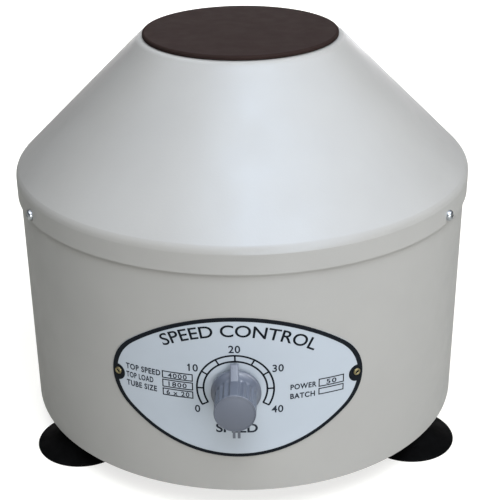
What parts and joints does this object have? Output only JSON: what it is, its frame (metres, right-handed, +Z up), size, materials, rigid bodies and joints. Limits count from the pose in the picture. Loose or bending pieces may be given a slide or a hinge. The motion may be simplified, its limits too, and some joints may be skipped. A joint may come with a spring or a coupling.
{
  "type": "laboratory centrifuge",
  "caption": "Bench laboratory centrifuge: sheet-metal drum on suction feet, screwed cone cover with lift-off lid, speed knob on a curved front panel and a fixed-angle tube rotor inside.",
  "frame": {"origin": "centre of the footprint on the bench, on the drum's axis", "axes": "+Z up along the drum and rotor axis, -Y out of the control panel, +X to the right for someone facing the panel"},
  "size_m": [0.2634, 0.3062, 0.2357],
  "materials": {
    "case_paint": "satin light grey stoved paint with a fine orange-peel",
    "base_paint": "thin grey paint on pressed steel",
    "zinc_steel": "bright zinc plate",
    "black_rubber": "smooth moulded rubber",
    "panel_print": "satin printed aluminium panel",
    "screw_brass": "plain brass",
    "knob_grey": "moulded grey plastic",
    "black_plastic": "moulded black plastic",
    "fuse_glass": "clear glass tube",
    "board_green": "fibreglass circuit board",
    "cast_aluminium": "fine cast and turned aluminium",
    "capacitor_red": "dipped film capacitor",
    "copper_wire": "enamelled copper",
    "terminal_white": "moulded terminal strip",
    "lead_insulation": "insulated wire",
    "motor_paint": "black motor enamel",
    "bearing_steel": "ground steel",
    "laminated_steel": "stacked laminations",
    "sleeve_steel": "drawn stainless sleeve",
    "lid_brown": "dark brown moulded plastic"
  },
  "bodies": {
    "housing": {"base_plate": "base_paint", "bearing_lower": "bearing_steel", "bearing_upper": "bearing_steel", "board_fasteners": "zinc_steel", "brush_gear": "screw_brass", "cable_gland": "black_plastic", "capacitor": "capacitor_red", "chamber_floor": "base_paint", "choke": "copper_wire", "cone_cover": "case_paint", "control_board": "board_green", "cover_fasteners": "zinc_steel", "damper_fasteners": "zinc_steel", "drum_shell": "case_paint", "field_stack": "laminated_steel", "field_windings": "copper_wire", "floor_brackets": "zinc_steel", "floor_fasteners": "zinc_steel", "foot_fasteners": "zinc_steel", "foot_front_left": "black_rubber", "foot_front_right": "black_rubber", "foot_rear": "black_rubber", "fuse_holder": "black_plastic", "gland_cap": "black_plastic", "gland_seal": "black_rubber", "heatsink": "cast_aluminium", "internal_leads": "lead_insulation", "label_plate": "panel_print", "motor_dampers": "black_rubber", "motor_end_lower": "cast_aluminium", "motor_end_upper": "cast_aluminium", "motor_fasteners": "zinc_steel", "motor_housing": "motor_paint", "motor_plate": "zinc_steel", "plate_screws": "screw_brass", "pot_body": "zinc_steel", "pot_nut": "zinc_steel", "rim_fasteners": "zinc_steel", "terminal_block": "terminal_white"},
    "lid": {"lid": "lid_brown", "lid_seal": "black_rubber"},
    "rotor": {"motor_shaft": "bearing_steel", "armature": "laminated_steel", "commutator": "copper_wire", "cooling_fan": "black_plastic", "rotor_head": "cast_aluminium", "rotor_nut": "bearing_steel", "tube_sleeve_1": "sleeve_steel", "tube_sleeve_2": "sleeve_steel", "tube_sleeve_3": "sleeve_steel", "tube_sleeve_4": "sleeve_steel", "tube_sleeve_5": "sleeve_steel", "tube_sleeve_6": "sleeve_steel", "sleeve_cushions": "black_rubber"},
    "knob": {"knob": "knob_grey", "knob_collet": "screw_brass", "knob_cap": "knob_grey", "pot_shaft": "zinc_steel"},
    "fuse_cap": {"fuse_cap": "black_plastic", "fuse": "fuse_glass"}
  },
  "joints": [
    {"name": "lid_lift", "type": "slide", "parent": "housing", "child": "lid", "axis": [0, 0, 1], "range_m": [0, 0.15]},
    {"name": "rotor_spin", "type": "hinge", "parent": "housing", "child": "rotor", "pos_m": [0, 0, 0.15], "axis": [0, 0, 1], "continuous": true},
    {"name": "knob_turn", "type": "hinge", "parent": "housing", "child": "knob", "pos_m": [0, -0.14, 0.0802], "axis": [0, 1, 0], "range_deg": [-120, 120]},
    {"name": "fuse_cap_turn", "type": "hinge", "parent": "housing", "child": "fuse_cap", "pos_m": [0.06103, 0.11478, 0.045], "axis": [0.4695, 0.8829, 0], "range_deg": [0, 45]}
  ]
}
